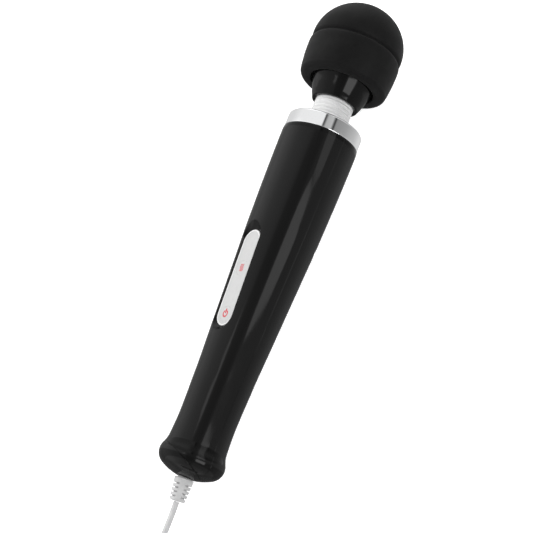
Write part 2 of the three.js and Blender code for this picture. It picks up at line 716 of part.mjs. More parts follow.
function makeAdapter() {
  const { x, front, length, height, corner, faceThickness } = ADAPTER;
  const rear = front - length;
  const half = ADAPTER.halfWidth - corner;
  const section = new THREE.Shape();
  section.absarc(half, corner, corner, -Math.PI / 2, 0, false);
  section.absarc(half, height - corner, corner, 0, Math.PI / 2, false);
  section.absarc(-half, height - corner, corner, Math.PI / 2, Math.PI, false);
  section.absarc(-half, corner, corner, Math.PI, (3 * Math.PI) / 2, false);
  section.closePath();
  const body = extrude(section, 0, length - faceThickness - GAP, 4).rotateX(Math.PI / 2);
  piece('adapter_body', body, white, part).position.set(x, front, 0);

  let face = solid(extrude(section, 0, faceThickness, 4).rotateX(Math.PI / 2).translate(x, rear + faceThickness, 0));
  const middle = height / 2;
  for (const [name, side] of [['adapter_blade_left', -1], ['adapter_blade_right', 1]]) {
    const left = x + (side * BLADE.gap) / 2 - BLADE.thickness / 2;
    const right = left + BLADE.thickness;
    const low = middle - BLADE.height / 2;
    const high = middle + BLADE.height / 2;
    const slot = box([left - GAP, rear - 1, low - GAP], [right + GAP, rear + BLADE.depth, high + GAP]);
    face = face.subtract(solid(slot));
    piece(name, box([left, rear - BLADE.length, low], [right, rear + BLADE.depth - GAP, high]), brass, part);
  }
  piece('adapter_face', geometryOf(face), white, part);

  const base = 3.2;
  const tip = 2.2;
  const relief = revolve([
    [0, GAP], [base, GAP], [base, 1.6], [tip, ADAPTER.reliefLength], [0, ADAPTER.reliefLength],
  ], 16);
  piece('adapter_relief', relief.rotateX(-Math.PI / 2), whiteRubber, part).position.set(x, front, ADAPTER.cordHeight);
}

piece('cord_lead', tube(LEAD_ROUTE, CORD_RADIUS, 12), white, part);
makeHank();
makeTie();
piece('cord_end', tube(endRoute(), CORD_RADIUS, 14), white, part);
makeAdapter();

export default part;
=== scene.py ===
"""The looks of a corded wand massager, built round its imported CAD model, in the CAD frame and in metres."""

import json
import math
from bisect import bisect

import bmesh
import bpy
from mathutils import Matrix, Vector

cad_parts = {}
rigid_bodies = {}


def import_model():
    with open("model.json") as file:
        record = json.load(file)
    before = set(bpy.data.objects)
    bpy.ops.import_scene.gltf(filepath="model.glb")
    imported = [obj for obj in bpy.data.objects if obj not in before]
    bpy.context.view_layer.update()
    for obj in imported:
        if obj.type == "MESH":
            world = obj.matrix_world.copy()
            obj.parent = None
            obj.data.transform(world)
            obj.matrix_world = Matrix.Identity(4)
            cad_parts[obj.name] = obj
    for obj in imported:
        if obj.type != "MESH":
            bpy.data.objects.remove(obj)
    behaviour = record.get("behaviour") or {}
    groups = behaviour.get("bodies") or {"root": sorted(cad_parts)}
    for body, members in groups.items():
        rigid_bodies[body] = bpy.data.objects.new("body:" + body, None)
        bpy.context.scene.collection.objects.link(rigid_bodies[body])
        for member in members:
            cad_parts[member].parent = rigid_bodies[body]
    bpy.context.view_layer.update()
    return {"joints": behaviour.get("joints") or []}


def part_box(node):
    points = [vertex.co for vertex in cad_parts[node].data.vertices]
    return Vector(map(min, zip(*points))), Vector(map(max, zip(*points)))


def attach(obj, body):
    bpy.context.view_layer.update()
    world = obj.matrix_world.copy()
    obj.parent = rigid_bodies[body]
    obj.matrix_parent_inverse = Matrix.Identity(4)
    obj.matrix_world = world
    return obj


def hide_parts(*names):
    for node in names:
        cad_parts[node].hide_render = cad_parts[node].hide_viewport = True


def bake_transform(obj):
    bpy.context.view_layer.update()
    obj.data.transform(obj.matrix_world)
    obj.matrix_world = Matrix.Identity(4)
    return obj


for start_object in list(bpy.data.objects):
    bpy.data.objects.remove(start_object)
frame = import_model()
MM = 0.001
FULL_TURN = 2 * math.pi
SQUARE = ((-1, -1), (1, -1), (1, 1), (-1, 1))

# -------- the wand's own frame, from the joints

JOINTS = {joint["name"]: joint for joint in frame["joints"]}
NECK_PIVOT = 233.8  # along the axis from the tail, in mm
AXIS = Vector(JOINTS["rotor_spin"]["axis"])
STRIP_OUT = -Vector(JOINTS["power_press"]["axis"])
STRIP_SIDE = (STRIP_OUT - AXIS * STRIP_OUT.dot(AXIS)).normalized()
TAIL = Vector(JOINTS["neck_pitch"]["pos_m"]) - AXIS * NECK_PIVOT * MM


def basis(x, y, z, origin):
    """A matrix from a local frame in mm to the row frame in metres."""
    rotation = Matrix((x, y, z)).transposed().to_4x4()
    return Matrix.Translation(origin) @ rotation @ Matrix.Scale(MM, 4)


WAND = basis(STRIP_SIDE.cross(AXIS), STRIP_SIDE, AXIS, TAIL)  # Z along the axis, Y towards the strip
STRIP_MIDDLE = 119
STRIP_DISTANCE = 17.95
STRIP_UP = (AXIS - STRIP_OUT * AXIS.dot(STRIP_OUT)).normalized()
STRIP_CENTRE = WAND @ Vector((0, STRIP_DISTANCE, STRIP_MIDDLE))
STRIP = basis(STRIP_UP.cross(STRIP_OUT), STRIP_UP, STRIP_OUT, STRIP_CENTRE)


def on_axis(height):
    return WAND @ Vector((0, 0, height))


def rotation(degrees, axis):
    return Matrix.Rotation(math.radians(degrees), 4, axis)


def add_object(name, data):
    made = bpy.data.objects.new(name, data)
    bpy.context.scene.collection.objects.link(made)
    return made


# -------- camera

FOCAL_LENGTH = 81.05
CAMERA_DISTANCE = 0.718
VIEW_MIDDLE = 133.8  # along the axis, in mm
VIEW_LEFT = 1.7  # the view's middle lies this far to the left of the axis, in mm
VIEW_TURN = math.radians(6.4)  # round the axis from straight up, towards +X
VIEW_TILT = math.radians(14.1)  # from square to the axis, towards the tail
SIDE = Vector((1, 0, 0))
VIEW_SQUARE = SIDE.cross(AXIS) * math.cos(VIEW_TURN) + SIDE * math.sin(VIEW_TURN)
VIEW_RIGHT = AXIS.cross(VIEW_SQUARE).normalized()


def make_camera():
    back = VIEW_SQUARE * math.cos(VIEW_TILT) - AXIS * math.sin(VIEW_TILT)
    camera = add_object("camera", bpy.data.cameras.new("camera"))
    camera.data.lens = FOCAL_LENGTH
    camera.data.clip_start = 0.01
    camera.data.clip_end = 20
    camera.location = on_axis(VIEW_MIDDLE) - VIEW_RIGHT * VIEW_LEFT * MM + back * CAMERA_DISTANCE
    camera.rotation_mode = "QUATERNION"
    camera.rotation_quaternion = (-back).to_track_quat("-Z", "Y")
    bpy.context.scene.camera = camera


# -------- node materials

MATERIALS = {}


def add_node(tree, kind, inputs, **settings):
    """A new shader node. Each input is a value or another node's socket, by name or number."""
    node = tree.nodes.new("ShaderNode" + kind)
    for name, value in settings.items():
        setattr(node, name, value)
    for socket, value in inputs.items():
        if isinstance(value, bpy.types.NodeSocket):
            tree.links.new(value, node.inputs[socket])
        else:
            node.inputs[socket].default_value = value
    return node


def noise(tree, scale, detail=4.0, roughness=0.5, stretch=(1, 1, 1)):
    """A noise texture in object space."""
    place = add_node(tree, "TexCoord", {}).outputs["Object"]
    mapped = add_node(tree, "Mapping", {"Vector": place, "Scale": stretch}).outputs["Vector"]
    inputs = {"Vector": mapped, "Scale": scale, "Detail": detail, "Roughness": roughness}
    return add_node(tree, "TexNoise", inputs).outputs["Fac"]


def spread(tree, texture, low, high):
    """Maps a noise texture's middle range onto the values from low to high."""
    ends = {"From Min": 0.35, "From Max": 0.65, "To Min": low, "To Max": high}
    return add_node(tree, "MapRange", {"Value": noise(tree, *texture), **ends}).outputs["Result"]


def mix(tree, factor, first, second):
    inputs = {"Factor": factor, "A": first, "B": second}
    return add_node(tree, "Mix", inputs, data_type="RGBA").outputs["Result"]


def material(name, color, roughness, metallic=0, shades=None, polish=None, bumps=(), **sockets):
    """A Principled material. Shades are its darkest and lightest colour, polish its lowest and highest
    roughness, and a bump starts with its depth in mm. The numbers after these are the noise texture's."""
    made = bpy.data.materials.new(name)
    made.use_nodes = True
    tree = made.node_tree
    inputs = tree.nodes["Principled BSDF"].inputs
    constants = {"Base Color": (*color, 1), "Roughness": roughness, "Metallic": metallic, **sockets}
    for socket, value in constants.items():
        inputs[socket.replace("_", " ")].default_value = value
    if shades:
        dark, light, *texture = shades
        tree.links.new(mix(tree, spread(tree, texture, 0, 1), (*dark, 1), (*light, 1)), inputs["Base Color"])
    if polish:
        low, high, *texture = polish
        tree.links.new(spread(tree, texture, low, high), inputs["Roughness"])
    for depth, *texture in bumps:
        added = {"Strength": 1, "Distance": depth * MM, "Height": noise(tree, *texture)}
        if inputs["Normal"].links:
            added["Normal"] = inputs["Normal"].links[0].from_socket
        tree.links.new(add_node(tree, "Bump", added).outputs["Normal"], inputs["Normal"])
    MATERIALS[name] = made
    return made


def grey(value):
    return value, value, value


def make_materials():
    material("gloss_black_plastic", grey(0.003), 0.1, shades=(grey(0.0022), grey(0.0036), 9),
             polish=(0.07, 0.13, 38, 5, 0.6, (1, 0.35, 1)), bumps=[(0.002, 900, 2), (0.01, 60, 1)],
             Specular_IOR_Level=0.17)
    material("matte_silicone", grey(0.003), 0.6, shades=(grey(0.002), grey(0.004), 160, 6, 0.65),
             polish=(0.54, 0.68, 55, 5), bumps=[(0.02, 2600, 3, 0.6), (0.015, 420, 3)],
             Specular_IOR_Level=0.125, Sheen_Weight=0.035)
    material("chrome", (0.84, 0.845, 0.85), 0.05, 1, polish=(0.03, 0.09, 120, 5, 0.6),
             bumps=[(0.003, 90, 2)])
    material("white_plastic", (0.68, 0.68, 0.675), 0.4,
             shades=((0.66, 0.66, 0.655), (0.7, 0.7, 0.698), 300, 5),
             polish=(0.34, 0.46, 150, 4), bumps=[(0.008, 3000, 2)])
    material("adapter_plastic", (0.53, 0.53, 0.525), 0.42,
             shades=((0.5, 0.5, 0.495), (0.55, 0.55, 0.545), 200, 5),
             polish=(0.36, 0.5, 150, 4), bumps=[(0.012, 2400, 2)])
    material("white_film", grey(0.475), 0.5, shades=(grey(0.465), (0.485, 0.485, 0.483), 500, 5),
             bumps=[(0.006, 3600, 2)])
    # The sleeve's rubber is a lighter copy of the white rubber: painted light that makes up for the shade the
    # head and the collar cast on the neck.
    for name, dark, middle, light in (("white_rubber", 0.5, 0.52, 0.54), ("sleeve_rubber_painted_light", 0.64, 0.66, 0.68)):
        material(name, grey(middle), 0.5, shades=((dark, dark, dark + 0.002), grey(light), 260, 5),
                 polish=(0.42, 0.58, 180, 4), bumps=[(0.012, 2200, 3)])
    material("white_cord", grey(0.53), 0.42, shades=((0.5, 0.5, 0.505), grey(0.56), 120, 4),
             polish=(0.34, 0.5, 240, 4), bumps=[(0.015, 1500, 3)])
    material("red_print", (0.5, 0.012, 0.03), 0.5, shades=((0.46, 0.01, 0.025), (0.54, 0.016, 0.036), 900, 4))
    material("black_rubber", grey(0.015), 0.7, shades=(grey(0.011), grey(0.02), 200, 5),
             polish=(0.6, 0.8, 300, 4), bumps=[(0.02, 1800, 3)])
    material("red_wire", (0.4, 0.02, 0.02), 0.45, shades=((0.36, 0.016, 0.016), (0.44, 0.026, 0.026), 200, 3),
             bumps=[(0.01, 1500, 2)])
    material("steel", (0.56, 0.57, 0.59), 0.3, 1, polish=(0.2, 0.42, 600, 4, 0.6, (1, 0.05, 1)),
             bumps=[(0.006, 1600, 3, 0.6, (1, 0.08, 1))])
    material("brass", (0.75, 0.58, 0.3), 0.28, 1, shades=((0.68, 0.5, 0.24), (0.79, 0.62, 0.34), 70, 4),
             polish=(0.2, 0.4, 400, 4), bumps=[(0.006, 1200, 3)])
    material("circuit_board", (0.012, 0.11, 0.05), 0.4,
             shades=((0.01, 0.095, 0.042), (0.02, 0.14, 0.065), 700, 3), bumps=[(0.02, 900, 2)])
    material("grey_plastic", (0.09, 0.09, 0.095), 0.55,
             shades=((0.08, 0.08, 0.084), (0.1, 0.1, 0.106), 240, 4), bumps=[(0.015, 1400, 3)])


# -------- mesh helpers


def line(start, stop, count):
    """Points from start to stop, without the last."""
    return [start + (stop - start) * i / count for i in range(count)]


def polar(radius, angle):
    return radius * math.cos(angle), radius * math.sin(angle)


def arc(centre, radii, first, last, count):
    """Points on an ellipse's arc, in degrees, both ends included."""
    angles = [math.radians(a) for a in line(first, last, count) + [last]]
    return [(centre[0] + radii[0] * math.cos(a), centre[1] + radii[1] * math.sin(a)) for a in angles]


def stretches(points):
    """Each pair of neighbouring points, with the points before and after it."""
    points = [Vector(p) for p in points]
    padded = [2 * points[0] - points[1], *points, 2 * points[-1] - points[-2]]
    return zip(padded, padded[1:], padded[2:], padded[3:])


def smooth(points, steps):
    """A centripetal spline through points in a plane, with this many steps between neighbours."""
    made = []
    for p0, p1, p2, p3 in stretches(points):
        t1 = (p1 - p0).length ** 0.5
        t2 = t1 + (p2 - p1).length ** 0.5
        t3 = t2 + (p3 - p2).length ** 0.5
        for t in line(t1, t2, steps):
            a1 = p0 * (t1 - t) / t1 + p1 * t / t1
            a2 = p1 * (t2 - t) / (t2 - t1) + p2 * (t - t1) / (t2 - t1)
            a3 = p2 * (t3 - t) / (t3 - t2) + p3 * (t - t2) / (t3 - t2)
            b1 = a1 * (t2 - t) / t2 + a2 * t / t2
            b2 = a2 * (t3 - t) / (t3 - t1) + a3 * (t - t1) / (t3 - t1)
            made.append(tuple(b1 * (t2 - t) / (t2 - t1) + b2 * (t - t1) / (t2 - t1)))
    return [*made, tuple(points[-1])]


def smooth_route(points, steps):
    """A smooth curve through points in space, without the last point."""
    made = []
    for p0, p1, p2, p3 in stretches(points):
        a, b, d = (p2 - p0) * 0.5, (p3 - p1) * 0.5, p2 - p1
        for t in line(0, 1, steps):
            made.append(p1 + a * t + (d * 3 - a * 2 - b) * t * t + (a + b - d * 2) * t * t * t)
    return made


def rounded_rectangle(left, low, right, high, radius, steps=6):
    """The outline of a rectangle whose corners are rounded."""
    corners = [Vector(p) for p in ((left, low), (right, low), (right, high), (left, high))]
    made = []
    for i, here in enumerate(corners):
        into, out = corners[i - 1] - here, corners[(i + 1) % 4] - here
        reach = min(radius, into.length * 0.45, out.length * 0.45)
        a, b = here + into.normalized() * reach, here + out.normalized() * reach
        for t in line(0, 1, steps) + [1]:
            made.append(tuple(a * (1 - t) ** 2 + here * 2 * t * (1 - t) + b * t * t))
    return made


def build(name, work, matrix, finish, sharp=35):
    """An object from a bmesh in a local frame."""
    bmesh.ops.recalc_face_normals(work, faces=work.faces)
    mesh = bpy.data.meshes.new(name)
    work.to_mesh(mesh)
    work.free()
    mesh.transform(matrix)
    mesh.materials.append(MATERIALS[finish])
    made = add_object(name, mesh)
    shade(made, sharp)
    return made


def sharpen(made, degrees):
    """Keeps the edges sharp that bend by more than this."""
    made.data.set_sharp_from_angle(angle=math.radians(degrees))


def shade(made, sharp):
    for face in made.data.polygons:
        face.use_smooth = True
    sharpen(made, sharp)


def skin(work, low, high):
    """Faces between two rings of points."""
    for i in range(len(low)):
        j = (i + 1) % len(low)
        corners = tuple(dict.fromkeys((low[i], low[j], high[j], high[i])))
        if len(corners) > 2:
            work.faces.new(corners)


def revolve(outline, facets):
    """A closed solid turned about Z. The outline closes on itself, or starts and ends on the axis."""
    work = bmesh.new()
    rings = []
    for radius, height in outline:
        if radius < 1e-6:
            rings.append([work.verts.new((0, 0, height))] * facets)
            continue
        angles = [FULL_TURN * i / facets for i in range(facets)]
        rings.append([work.verts.new((*polar(radius, a), height)) for a in angles])
    for low, high in zip(rings, [*rings[1:], rings[0]]):
        skin(work, low, high)
    return work


def cylinder(radius, low, high, facets=40):
    return revolve([(0, low), (radius, low), (radius, high), (0, high)], facets)


def loft(rings, joined=False):
    """A closed solid through rings of points with the same count. Its two ends are capped, or joined."""
    work = bmesh.new()
    made = [[work.verts.new(p) for p in ring] for ring in rings]
    for low, high in zip(made, made[1:]):
        skin(work, low, high)
    if joined:
        skin(work, made[-1], made[0])
    else:
        work.faces.new(made[0][::-1])
        work.faces.new(made[-1])
    return work


def sweep(points, radius, sides=12):
    """A closed tube along points in mm."""
    points = [Vector(p) for p in points]
    normal = (points[1] - points[0]).orthogonal().normalized()
    angles = [FULL_TURN * k / sides for k in range(sides)]
    rings = []
    for i, point in enumerate(points):
        along = (points[min(i + 1, len(points) - 1)] - points[max(i - 1, 0)]).normalized()
        normal = (normal - along * normal.dot(along)).normalized()
        side = along.cross(normal)
        rings.append([point + (normal * math.cos(a) + side * math.sin(a)) * radius for a in angles])
    return loft(rings)


def apply(target):
    """Puts the result of an object's modifiers into its mesh."""
    evaluated = target.evaluated_get(bpy.context.evaluated_depsgraph_get())
    made = bpy.data.meshes.new_from_object(evaluated)
    target.modifiers.clear()
    target.data = made


def boolean(target, cutter, operation="DIFFERENCE"):
    """Cuts target with cutter or joins them, and removes the cutter."""
    modifier = target.modifiers.new(operation, "BOOLEAN")
    modifier.operation = operation
    modifier.solver = "EXACT"
    modifier.object = cutter
    apply(target)
    bpy.data.objects.remove(cutter)


def bevel_edges(target, width_mm, segments, angle):
    modifier = target.modifiers.new("bevel", "BEVEL")
    modifier.width = width_mm * MM
    modifier.segments = segments
    modifier.limit_method = "ANGLE"
    modifier.angle_limit = math.radians(angle)
    apply(target)


def settle(made, slot, *nodes, body="handle"):
    """Rides a finished piece on its body, in the place of its CAD nodes."""
    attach(made, body)
    if nodes:
        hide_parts(*nodes)
    return made


# -------- cord, hank, tie and adapter

CORD_DIAMETER = 3.5
CORD_RADIUS = CORD_DIAMETER / 2
LEAD_ROUTE = [
    (0.7, -164.2, 19), (0.95, -172, 18.6), (0.95, -180, 18.1), (0.75, -188, 17.4), (0.4, -196, 16.4),
    (0.05, -203, 15.2), (-0.3, -209, 14.1), (-0.6, -218.6, 13.25), (-0.6, -224, 13.15),
]
HANK_X, HANK_Y = 14.4, -260
HALF_RUN = 30.8
FOLD_RADIUS = 11.2
COLUMN_PITCH = 3.8
PINCH = 9.2  # how far the tie draws each side of the hank in
HANK_BOTTOM = 0.9
RUN_STEPS, FOLD_STEPS = 22, 14
# (column, layer) of each turn: from the top, inwards and outwards in turn, to the outside at the bottom
TURNS = [(1, 3), (0, 3), (0, 2), (1, 2), (1, 1), (0, 1), (0, 0), (1, 0)]
CROSSING = 0.55  # share of the fold that one crossing takes; later turns cross sooner
ADAPTER_X = -15
ADAPTER_FRONT = -237
ADAPTER_CORD_HEIGHT = 5.5
CORD_IN_ADAPTER = 24
TIE_WALL = 0.55
TIE_EDGES = [(-2.4, 0.12), (-2.28, 0), (2.28, 0), (2.4, 0.12)]  # (place across the band, bevel there)
ADAPTER_JOINT = 0.00015  # half the width of the groove round the adapter, in metres
ADAPTER_JOINT_DEPTH = 0.0006
BLADE_GAP = 0.0002


def ease(t):
    t = min(max(t, 0), 1)
    return t * t * (3 - 2 * t)


def turn_radius(column):
    return FOLD_RADIUS + column * COLUMN_PITCH


def turn_height(layer):
    return HANK_BOTTOM + CORD_RADIUS + layer * CORD_DIAMETER


def pinch_at(distance):
    return PINCH * (1 + math.cos(math.pi * distance / HALF_RUN)) / 2


def hank_path():
    """The turns of the hank, from the end of the lead to the last run."""
    made = []
    for i, (column, layer) in enumerate(TURNS):
        radius, height = turn_radius(column), turn_height(layer)
        for y in line(HALF_RUN, -HALF_RUN, RUN_STEPS):
            made.append((HANK_X - radius + pinch_at(y), HANK_Y + y, height))
        for a in line(math.pi, FULL_TURN, FOLD_STEPS):
            x, y = polar(radius, a)
            made.append((HANK_X + x, HANK_Y - HALF_RUN + y, height))
        for y in line(-HALF_RUN, HALF_RUN, RUN_STEPS):
            made.append((HANK_X + radius - pinch_at(y), HANK_Y + y, height))
        if i + 1 == len(TURNS):
            break
        next_radius, next_height = turn_radius(TURNS[i + 1][0]), turn_height(TURNS[i + 1][1])
        start = (len(TURNS) - 2 - i) / (len(TURNS) - 2) * (1 - CROSSING)
        for t in line(0, 1, FOLD_STEPS):
            share = ease((t - start) / CROSSING)
            r = radius + (next_radius - radius) * share
            h = height + (next_height - height) * share
            x, y = polar(r, t * math.pi)
            made.append((HANK_X + x, HANK_Y + HALF_RUN + y, h))
    return made


def end_path():
    """Round a half circle on the surface and up into the adapter."""
    right = HANK_X + turn_radius(1)
    radius = (right - ADAPTER_X) / 2
    made = []
    for angle in line(0, math.pi, 30) + [math.pi]:
        low = turn_height(0) + (CORD_RADIUS + 0.1 - turn_height(0)) * ease(angle / 0.6)
        rise = ease((angle - 0.5 * math.pi) / (0.5 * math.pi))
        height = low + (ADAPTER_CORD_HEIGHT - low) * rise
        x, y = polar(radius, angle)
        made.append((right - radius + x, HANK_Y + HALF_RUN + y, height))
    last = made[-1]
    for y in line(HANK_Y + HALF_RUN - 2, ADAPTER_FRONT - CORD_IN_ADAPTER, 14):
        made.append((last[0], y, last[2]))
    return made


def make_cord():
    points = [Vector(p) * MM for p in smooth_route(LEAD_ROUTE, 6) + hank_path() + end_path()]
    curve = bpy.data.curves.new("cord", "CURVE")
    curve.dimensions = "3D"
    curve.bevel_depth = CORD_RADIUS * MM
    curve.bevel_resolution = 4
    curve.use_fill_caps = True
    spline = curve.splines.new("POLY")
    spline.points.add(len(points) - 1)
    for target, p in zip(spline.points, points):
        target.co = (*p, 1)
    spline.use_smooth = True
    curve.materials.append(MATERIALS["white_cord"])
    cord = add_object("cord", curve)
    settle(cord, "white_cord", "cord_lead", "cord_hank", "cord_end")
    return cord, tuple(points[0])


def make_tie():
    """A flat black band round the hank's waist."""
    low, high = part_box("cord_tie")
    half, top = (high.x - low.x) / 2 / MM, high.z / MM
    outer = rounded_rectangle(-half, 0, half, top, 3.2)
    inner = rounded_rectangle(-half + TIE_WALL, TIE_WALL, half - TIE_WALL, top - TIE_WALL, 2.8)
    outlines = []
    for (outer_x, outer_z), (inner_x, inner_z) in zip(outer, inner):
        outlines.append([(outer_x * (1 - bevel / half), y, outer_z) for y, bevel in TIE_EDGES]
                        + [(inner_x, y, inner_z) for y, _ in TIE_EDGES[::-1]])
    place = Matrix.Translation(((low.x + high.x) / 2, (low.y + high.y) / 2, 0)) @ Matrix.Scale(MM, 4)
    tie = build("tie", loft(outlines, True), place, "black_rubber")
    return settle(tie, "black_rubber", "cord_tie")


def rounded_box(name, low, high, radius, segments=4, finish="adapter_plastic"):
    """A box with rounded edges, between two corners in the row frame."""
    work = bmesh.new()
    bmesh.ops.create_cube(work, size=1)
    bmesh.ops.scale(work, vec=high - low, verts=work.verts)
    bmesh.ops.translate(work, vec=(low + high) / 2, verts=work.verts)
    made = build(name, work, Matrix.Identity(4), finish)
    bevel_edges(made, radius, segments, 30)
    sharpen(made, 50)
    return made


def make_adapter():
    """A body in two moulded halves, a face with two flat blades, and a strain relief."""
    low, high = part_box("adapter_body")
    body = rounded_box("adapter_body_shell", low, high, 2.6, 5)
    middle, out = (low.z + high.z) / 2, 0.002
    groove = rounded_box("adapter_groove", Vector((low.x - out, low.y - out, middle - ADAPTER_JOINT)),
                         Vector((high.x + out, high.y + out, middle + ADAPTER_JOINT)), 0.05, 1)
    depth = Vector((ADAPTER_JOINT_DEPTH,) * 3)
    boolean(groove, rounded_box("adapter_core", low + depth, high - depth, 2.2))
    boolean(body, groove)
    settle(body, "white_plastic", "adapter_body")

    face = rounded_box("adapter_face_plate", *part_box("adapter_face"), 1.2)
    pieces = [body, face]
    for name in ("adapter_blade_left", "adapter_blade_right"):
        low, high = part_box(name)
        gap = Vector((BLADE_GAP, 0, BLADE_GAP))
        boolean(face, rounded_box("slot", low - gap, high + gap, 0.05, 1))
        blade = rounded_box(name + "_metal", low, high, 0.35, 3, "brass")
        pieces.append(settle(blade, "brass", name))
    settle(face, "white_plastic", "adapter_face")

    low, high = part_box("adapter_relief")
    outline = [(0, 0.1), (3.2, 0.1), (3.2, 1.4), (3, 1.7)]
    for i in range(4):
        base, radius = 2.1 + i * 1.3, 3 - i * 0.14
        outline += [(radius, base), (radius, base + 0.7), (radius - 0.35, base + 0.85),
                    (radius - 0.35, base + 1.15)]
    outline += [(2.15, 7.3), (2, 7.5), (0, 7.5)]
    turn = rotation(-90, "X")
    centre = (low + high) / 2
    place = Matrix.Translation((centre.x, low.y - 0.0003, centre.z)) @ turn @ Matrix.Scale(MM, 4)
    relief = build("adapter_relief_sleeve", revolve(outline, 40), place, "white_rubber", 30)
    return [*pieces, settle(relief, "white_rubber", "adapter_relief")]


# -------- handle casing

WALL = 2.2
GAP = 0.3
HANDLE_TOP = 220.3
HANDLE_TOP_RADIUS = 24.2
CUT_HEIGHT = 6  # the slanted cut of the tail cap on the axis
CUT_SLANT = math.tan(math.radians(27.3))
CUT_TURN = math.radians(30)  # its high side lies this far beyond the strip
SEAM = 0.08  # half the width of the gap at the tail cap
PARTING = 0.03  # half the width of the gap between the shells
CHAMFER = 0.28  # width of the bevels along the seams
SEAM_CHAMFER_DEPTH = CHAMFER * 0.7
PARTING_CHAMFER_DEPTH = 0.1
TAIL_HOLE = 4.75
FACETS = 240
SHELL_ROWS = 150
CAP_ROWS = 50
TAIL_DOME_RADIUS = 32
TAIL_DOME_END = 0.509  # in radians
LIP_RADIUS = 8.5
LIP_CENTRE = (11.5, 11.5)
LIP_ARC = (-61, 24)  # in degrees
HANDLE_SIDE = [
    (18.71, 16.31), (18.27, 17.58), (17.95, 18.78), (17.76, 19.9), (17.45, 24.5), (17.14, 33.7), (17.3, 44),
    (17.76, 57), (18.03, 66), (19.06, 85.3), (20.0, 104.5), (21.47, 133.8), (22.48, 153.7), (22.83, 163.7),
    (23.5, 184), (23.98, 204.6), (24.2, 219.5),
]


class Profile:
    """A line of (radius, height) points, measured along its length."""

    def __init__(self, points):
        self.points = [Vector(p) for p in points]
        self.places = [0]
        for a, b in zip(self.points, self.points[1:]):
            self.places.append(self.places[-1] + (b - a).length)
        self.length = self.places[-1]

    def at(self, place):
        low = min(max(bisect(self.places, place) - 1, 0), len(self.places) - 2)
        share = (place - self.places[low]) / (self.places[low + 1] - self.places[low])
        return self.points[low].lerp(self.points[low + 1], min(max(share, 0), 1))

    def inside(self, place, depth):
        """The point at this depth in the wall, square to the surface."""
        along = self.at(min(place + 0.4, self.length)) - self.at(max(place - 0.4, 0))
        return self.at(place) + Vector((-along.y, along.x)).normalized() * depth


def handle_profile():
    """The outer side of the handle, from the tail's pole to its top."""
    radius = TAIL_DOME_RADIUS
    dome = [(radius * math.sin(a), radius * (1 - math.cos(a))) for a in line(0, TAIL_DOME_END, 40)]
    lip = arc(LIP_CENTRE, (LIP_RADIUS, LIP_RADIUS), *LIP_ARC, 60)
    return Profile([*dome, *lip[:-1], *smooth([lip[-1], *HANDLE_SIDE], 12)])


HANDLE = handle_profile()


def cut_place(angle):
    """Where along the profile the slanted cut crosses it, at an angle round the axis."""
    towards = math.cos(angle - (math.pi / 2 - CUT_TURN))
    low, high = 0, 60
    for _ in range(40):
        middle = (low + high) / 2
        point = HANDLE.at(middle)
        if point.y < CUT_HEIGHT + CUT_SLANT * towards * point.x:
            low = middle
        else:
            high = middle
    return low


def turned(column, angle):
    """An outline of (radius, height) points, turned about Z."""
    return [(*polar(radius, angle), height) for radius, height in column]


def shell_column(angle, inset):
    """The closed outline of a half shell at an angle, with its rows closest at the tail. Inset shrinks its
    outer side for a chamfer."""
    start = cut_place(angle) + SEAM
    length = HANDLE.length - start - CHAMFER
    shares = [i / SHELL_ROWS for i in range(1, SHELL_ROWS + 1)]
    places = [start, start + CHAMFER]
    places += [start + CHAMFER + length * (0.25 * share + 0.75 * share**1.7) for share in shares]
    outer = [HANDLE.inside(place, inset) for place in places]
    outer[0] = HANDLE.inside(start, max(inset, SEAM_CHAMFER_DEPTH))
    edge = HANDLE_TOP_RADIUS - inset
    rim = [(edge - 0.06, HANDLE_TOP - 0.38), (edge - 0.2, HANDLE_TOP - 0.12), (edge - 0.5, HANDLE_TOP),
           (21.6, HANDLE_TOP), (21.6, 226), (19.6, 226), (19.6, 214)]
    inner = [HANDLE.inside(place, WALL) for place in places[::6][::-1] if HANDLE.at(place).y < 208]
    return [*outer, *rim, *inner]


def shell_solid(first, last, side):
    """A half shell between two angles, with chamfered edges all round, clear of the parting plane."""
    edge = CHAMFER / HANDLE_TOP_RADIUS
    angles = [first, *line(first + edge, last - edge, FACETS // 2), last - edge, last]
    rings = []
    for angle in angles:
        inset = PARTING_CHAMFER_DEPTH if angle in (first, last) else 0
        rings.append(turned(shell_column(angle, inset), angle))
    work = loft(rings)
    for vertex in work.verts:
        if abs(vertex.co.y) < 1e-3:
            vertex.co.y = side * PARTING
    return work


def cap_solid():
    """The tail cap, from the hole of the strain relief out to the slanted cut."""
    hole = next(p for p in line(0, 10, 400) if HANDLE.at(p).x >= TAIL_HOLE)
    start = hole + 0.15
    outlines = []
    for angle in line(0, FULL_TURN, FACETS):
        stop = cut_place(angle) - SEAM
        length = stop - CHAMFER - start
        places = [hole, start, *[start + length * i / CAP_ROWS for i in range(1, CAP_ROWS + 1)], stop]
        depths = [SEAM_CHAMFER_DEPTH, *[0] * (len(places) - 2), SEAM_CHAMFER_DEPTH]
        outer = [HANDLE.inside(place, depth) for place, depth in zip(places, depths)]
        wall = min(WALL, (stop - hole) * 0.5)
        inner = [HANDLE.inside(place, wall) for place in places[2:-1:8][::-1]]
        outlines.append(turned([*outer, *inner], angle))
    return loft(outlines, True)


